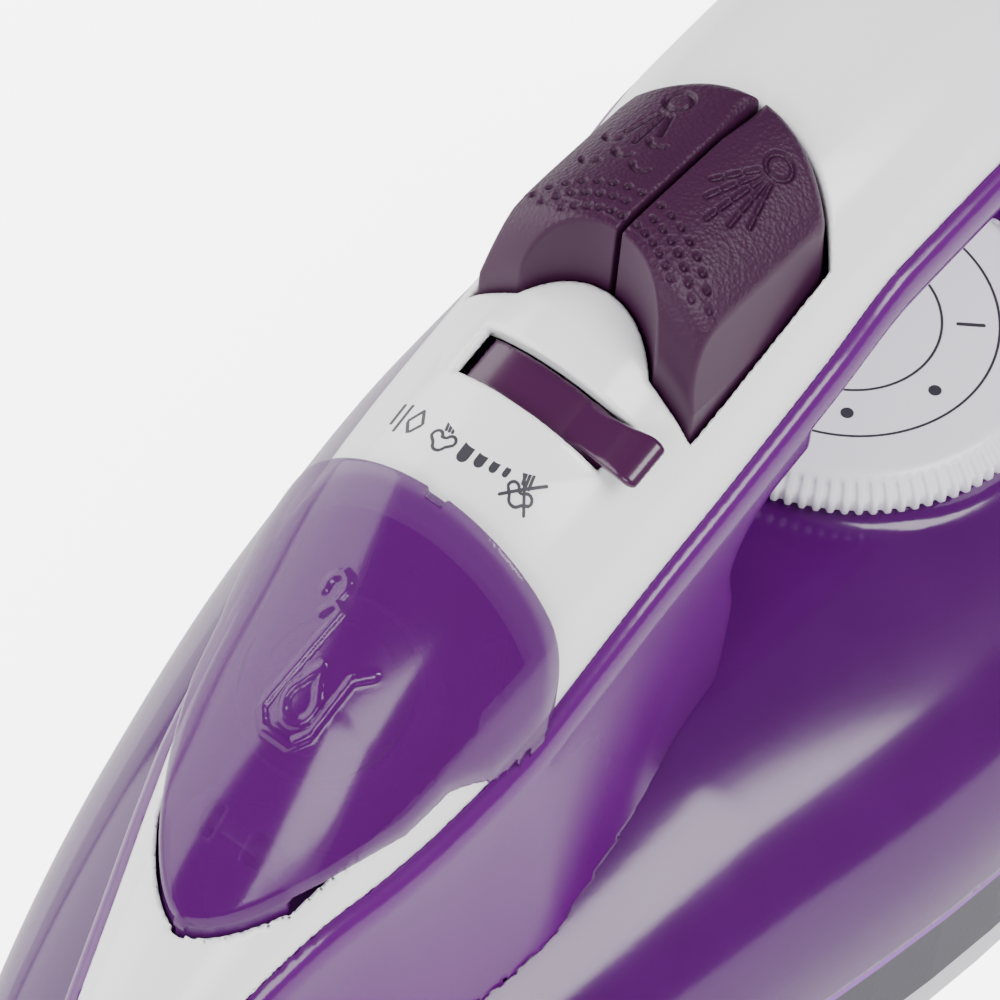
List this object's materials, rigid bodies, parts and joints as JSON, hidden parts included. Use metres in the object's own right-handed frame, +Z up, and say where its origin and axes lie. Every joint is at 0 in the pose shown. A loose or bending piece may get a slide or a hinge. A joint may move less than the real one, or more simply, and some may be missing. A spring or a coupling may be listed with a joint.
{
  "type": "steam iron",
  "caption": "Self-contained steam iron with a clear purple water tank, hinged filling lid, two push buttons, a steam slider and a temperature dial.",
  "frame": {"origin": "bottom centre of the bounding box, on the surface that the soleplate stands on", "axes": "+X to the nose, +Y to the user's left, +Z up"},
  "size_m": [0.29, 0.12, 0.1485],
  "materials": {
    "sole_metal": "satin coated",
    "steel": "brushed",
    "heater_steel": "oxidised",
    "ceramic_white": "matte",
    "fuse_body": "matte",
    "heat_shield_plastic": "fine texture",
    "tank_base_plastic": "gloss",
    "gasket_silicone": "matte",
    "clear_purple": "clear tinted plastic",
    "dark_purple": "gloss",
    "purple_gloss": "gloss",
    "white_gloss": "gloss",
    "dial_white": "semi-gloss",
    "pad_rubber": "matte",
    "tube_silicone": "translucent",
    "pump_plastic": "gloss",
    "eggplant": "leather-grain texture",
    "eggplant_gloss": "gloss",
    "dark_plastic": "fine texture",
    "lamp": "gloss",
    "lamp_amber": "clear amber"
  },
  "bodies": {
    "housing": {"soleplate": "sole_metal", "steam_chamber_cover": "steel", "heating_element": "heater_steel", "thermostat": "ceramic_white", "thermal_fuse": "fuse_body", "heat_shield": "heat_shield_plastic", "tank_base": "tank_base_plastic", "tank_gasket": "gasket_silicone", "tank_shell": "clear_purple", "fill_funnel": "dark_purple", "funnel_seal": "gasket_silicone", "handle_body": "purple_gloss", "top_cover": "white_gloss", "rear_cover": "white_gloss", "heel_pads": "pad_rubber", "spray_nozzle": "white_gloss", "nozzle_ring": "steel", "spray_tube": "tube_silicone", "steam_tube": "tube_silicone", "suction_tube": "tube_silicone", "spray_pump": "pump_plastic", "steam_pump": "pump_plastic", "spray_spring": "steel", "steam_spring": "steel", "slider_axle": "steel", "slider_bracket": "dark_plastic", "valve_seat": "gasket_silicone", "lid_frame": "dark_purple", "lid_hinge_pin": "steel", "dial_bush": "dark_plastic", "pilot_lamp": "lamp", "lamp_lens": "lamp_amber", "terminal_block": "ceramic_white", "gland_socket": "dark_plastic", "base_screws": "steel", "cover_screws": "steel"},
    "lid_assembly": {"lid": "clear_purple", "lid_seal": "gasket_silicone"},
    "spray_push": {"spray_button": "eggplant", "spray_plunger": "pump_plastic"},
    "steam_push": {"steam_button": "eggplant", "steam_plunger": "pump_plastic"},
    "slider": {"steam_slider": "eggplant_gloss"},
    "valve_rod": {"steam_valve_rod": "steel"},
    "dial_knob": {"dial": "dial_white", "dial_shaft": "steel"},
    "cord_ball": {"cord_gland": "dark_plastic"}
  },
  "joints": [
    {"name": "lid_hinge", "type": "hinge", "parent": "housing", "child": "lid_assembly", "pos_m": [0.084, 0, 0.0885], "axis": [0, 1, 0], "range_deg": [0, 72]},
    {"name": "spray_press", "type": "slide", "parent": "housing", "child": "spray_push", "axis": [0, 0, -1], "range_m": [0, 0.004], "stiffness_N_per_m": 400, "springref_m": -0.002, "deforming": ["spray_spring"]},
    {"name": "steam_press", "type": "slide", "parent": "housing", "child": "steam_push", "axis": [0, 0, -1], "range_m": [0, 0.004], "stiffness_N_per_m": 400, "springref_m": -0.002, "deforming": ["steam_spring"]},
    {"name": "steam_slide", "type": "hinge", "parent": "housing", "child": "slider", "pos_m": [0.0212, 0, 0.1095], "axis": [0.9563, 0, -0.2924], "range_deg": [0, 55]},
    {"name": "valve_lift", "type": "slide", "parent": "housing", "child": "valve_rod", "axis": [0, 0, 1], "range_m": [0, 0.0048]},
    {"name": "dial_turn", "type": "hinge", "parent": "housing", "child": "dial_knob", "pos_m": [-0.049, 0, 0.0746], "axis": [0, 0, 1], "range_deg": [0, 290]},
    {"name": "cord_tilt", "type": "hinge", "parent": "housing", "child": "cord_ball", "pos_m": [-0.133, 0, 0.103], "axis": [0, 1, 0], "range_deg": [-15, 15]}
  ],
  "couplings": [
    {"joint": "steam_slide", "follows": "valve_lift", "rad_per_m": 199.98}
  ]
}
